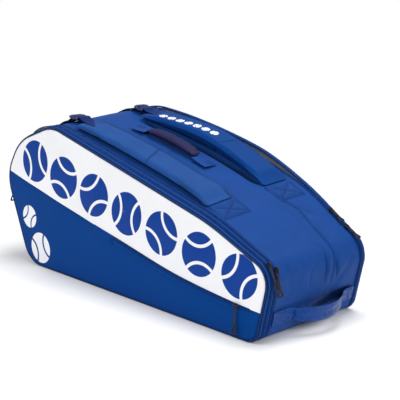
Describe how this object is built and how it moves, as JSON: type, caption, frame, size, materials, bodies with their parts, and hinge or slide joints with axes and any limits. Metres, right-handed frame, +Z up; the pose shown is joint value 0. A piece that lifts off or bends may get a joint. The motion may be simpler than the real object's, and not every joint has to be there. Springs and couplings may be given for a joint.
{
  "type": "racket tournament bag",
  "caption": "Long zipped bag for rackets, with covers that open on both sides, a pocket, two shoulder straps and carrying handles.",
  "frame": {"origin": "on the underside of the flat base, on the bag's middle line, below the middle of the top", "axes": "+X to the handle end, +Y to the rear cover, +Z up"},
  "size_m": [0.791, 0.3344, 0.3497],
  "materials": {
    "base_laminate": "coated woven bottom board",
    "blue_fabric": "woven polyester, satin",
    "grey_lining": "smooth lining",
    "zip_tape": "woven tape with a nylon coil",
    "white_fabric": "smooth coated panel, satin",
    "black_piping": "bound edge cord",
    "navy_webbing": "ribbed webbing",
    "blue_webbing": "ribbed webbing, satin",
    "navy_plastic": "moulded, glossy",
    "handle_padding": "padded fabric",
    "slider_metal": "dark nickel",
    "pull_cord": "cord with a moulded end"
  },
  "bodies": {
    "bag_body": {"base_board": "base_laminate", "head_end_gusset": "blue_fabric", "top_gusset": "blue_fabric", "handle_end_gusset": "blue_fabric", "centre_divider": "grey_lining", "front_gusset_zip_half": "zip_tape", "rear_gusset_zip_half": "zip_tape", "front_strap_patch": "blue_fabric", "rear_strap_patch": "blue_fabric", "front_webbing": "navy_webbing", "rear_webbing": "navy_webbing", "grab_handle_head_tab": "blue_webbing", "grab_handle_end_tab": "blue_webbing", "haul_handle_front_patch": "blue_webbing", "haul_handle_rear_patch": "blue_webbing"},
    "front_frame": {"front_frame_strip": "blue_fabric", "front_frame_divider": "grey_lining", "front_frame_inner_zip_half": "zip_tape", "front_frame_outer_zip_half": "zip_tape"},
    "front_cover": {"front_cover_zip_half": "zip_tape", "front_cover_wall": "blue_fabric", "front_piping": "black_piping", "front_upper_panel": "white_fabric", "front_pocket_panel": "blue_fabric", "front_upper_lining": "grey_lining", "front_pocket_lining": "grey_lining", "pocket_zip": "zip_tape", "pocket_zip_garage": "zip_tape"},
    "rear_cover": {"rear_cover_zip_half": "zip_tape", "rear_cover_wall": "blue_fabric", "rear_piping": "black_piping", "rear_upper_panel": "white_fabric", "rear_lower_panel": "blue_fabric", "rear_upper_lining": "grey_lining", "rear_lower_lining": "grey_lining"},
    "front_strap": {"front_shoulder_strap": "blue_fabric", "front_strap_tab": "navy_webbing"},
    "rear_strap": {"rear_shoulder_strap": "blue_fabric", "rear_strap_tab": "navy_webbing"},
    "front_lock": {"front_ladder_lock": "navy_plastic"},
    "rear_lock": {"rear_ladder_lock": "navy_plastic"},
    "grab_handle": {"grab_handle": "handle_padding"},
    "haul_handle": {"haul_handle": "blue_webbing"},
    "front_frame_slider": {"front_frame_slider": "slider_metal"},
    "front_frame_pull": {"front_frame_pull": "pull_cord"},
    "front_cover_slider": {"front_cover_slider": "slider_metal"},
    "front_cover_pull": {"front_cover_pull": "pull_cord"},
    "front_cover_head_end_slider": {"front_cover_head_end_slider": "slider_metal"},
    "front_cover_head_end_pull": {"front_cover_head_end_pull": "pull_cord"},
    "rear_first_slider": {"rear_first_slider": "slider_metal"},
    "rear_first_pull": {"rear_first_pull": "pull_cord"},
    "rear_second_slider": {"rear_second_slider": "slider_metal"},
    "rear_second_pull": {"rear_second_pull": "pull_cord"},
    "pocket_slider": {"pocket_slider": "slider_metal"},
    "pocket_pull": {"pocket_pull": "pull_cord"}
  },
  "joints": [
    {"name": "front_frame_hinge", "type": "hinge", "parent": "bag_body", "child": "front_frame", "pos_m": [0, -0.15, 0.0004], "axis": [1, 0, 0], "range_deg": [0, 40]},
    {"name": "front_cover_hinge", "type": "hinge", "parent": "front_frame", "child": "front_cover", "pos_m": [0, -0.151, 0.0004], "axis": [1, 0, 0], "range_deg": [0, 45]},
    {"name": "rear_cover_hinge", "type": "hinge", "parent": "bag_body", "child": "rear_cover", "pos_m": [0, 0.151, 0.0004], "axis": [-1, 0, 0], "range_deg": [0, 45]},
    {"name": "front_frame_slider_travel", "type": "hinge", "parent": "bag_body", "child": "front_frame_slider", "pos_m": [0.32556, -0.1224, 0.11207], "axis": [0, 1, 0], "range_deg": [-9, 18]},
    {"name": "front_cover_slider_travel", "type": "hinge", "parent": "front_frame", "child": "front_cover_slider", "pos_m": [0.32556, -0.1355, 0.11207], "axis": [0, 1, 0], "range_deg": [-10, 38]},
    {"name": "front_cover_head_end_slider_travel", "type": "hinge", "parent": "front_frame", "child": "front_cover_head_end_slider", "pos_m": [-0.30677, -0.1355, 0.18439], "axis": [0, -1, 0], "range_deg": [-26, 12]},
    {"name": "rear_first_slider_travel", "type": "hinge", "parent": "bag_body", "child": "rear_first_slider", "pos_m": [0.01747, -0.01356, -0.20529], "axis": [0.1609, -0.9547, 0.2503], "range_deg": [-0.3, 11.13]},
    {"name": "rear_second_slider_travel", "type": "slide", "parent": "bag_body", "child": "rear_second_slider", "axis": [0.8509, 0, -0.5253], "range_m": [-0.002, 0.01]},
    {"name": "pocket_slider_travel", "type": "hinge", "parent": "front_cover", "child": "pocket_slider", "pos_m": [0.4379, 0.46787, 1.8448], "axis": [-0.0642, 0.943, -0.3264], "range_deg": [-0.4, 5.32]},
    {"name": "front_frame_pull_swing", "type": "hinge", "parent": "front_frame_slider", "child": "front_frame_pull", "pos_m": [0.36832, -0.1224, 0.14049], "axis": [0, -1, 0], "range_deg": [0, 150]},
    {"name": "front_cover_pull_swing", "type": "hinge", "parent": "front_cover_slider", "child": "front_cover_pull", "pos_m": [0.36034, -0.1355, 0.14986], "axis": [0, -1, 0], "range_deg": [0, 150]},
    {"name": "front_cover_head_end_pull_swing", "type": "hinge", "parent": "front_cover_head_end_slider", "child": "front_cover_head_end_pull", "pos_m": [-0.39232, -0.1355, 0.17428], "axis": [0, 1, 0], "range_deg": [0, 150]},
    {"name": "rear_first_pull_swing", "type": "hinge", "parent": "rear_first_slider", "child": "rear_first_pull", "pos_m": [0.29302, 0.1352, 0.1978], "axis": [0, -1, 0], "range_deg": [0, 140]},
    {"name": "rear_second_pull_swing", "type": "hinge", "parent": "rear_second_slider", "child": "rear_second_pull", "pos_m": [0.3338, 0.1352, 0.17206], "axis": [0, -1, 0], "range_deg": [0, 140]},
    {"name": "pocket_pull_swing", "type": "hinge", "parent": "pocket_slider", "child": "pocket_pull", "pos_m": [0.307, -0.16093, 0.06195], "axis": [-1, 0, 0], "range_deg": [0, 95]},
    {"name": "front_strap_lift", "type": "hinge", "parent": "bag_body", "child": "front_strap", "pos_m": [0.1898, -0.08, 0.22526], "axis": [0.0339, 0.9902, 0.1354], "range_deg": [0, 14]},
    {"name": "front_lock_tilt", "type": "hinge", "parent": "front_strap", "child": "front_lock", "pos_m": [-0.21568, -0.08, 0.3361], "axis": [0, 1, 0], "range_deg": [0, 50]},
    {"name": "rear_strap_lift", "type": "hinge", "parent": "bag_body", "child": "rear_strap", "pos_m": [0.19424, 0.08, 0.24295], "axis": [0.0211, 0.9962, 0.084], "range_deg": [0, 14]},
    {"name": "rear_lock_tilt", "type": "hinge", "parent": "rear_strap", "child": "rear_lock", "pos_m": [-0.18427, 0.08, 0.34598], "axis": [0, 1, 0], "range_deg": [0, 50]},
    {"name": "grab_handle_swing", "type": "hinge", "parent": "bag_body", "child": "grab_handle", "pos_m": [-0.10458, 0, 0.31604], "axis": [0.9761, 0, -0.2172], "range_deg": [-30, 30]},
    {"name": "haul_handle_swing", "type": "hinge", "parent": "bag_body", "child": "haul_handle", "pos_m": [0.36546, -0.062, 0.04299], "axis": [0, 1, 0], "range_deg": [-14, 14]}
  ]
}
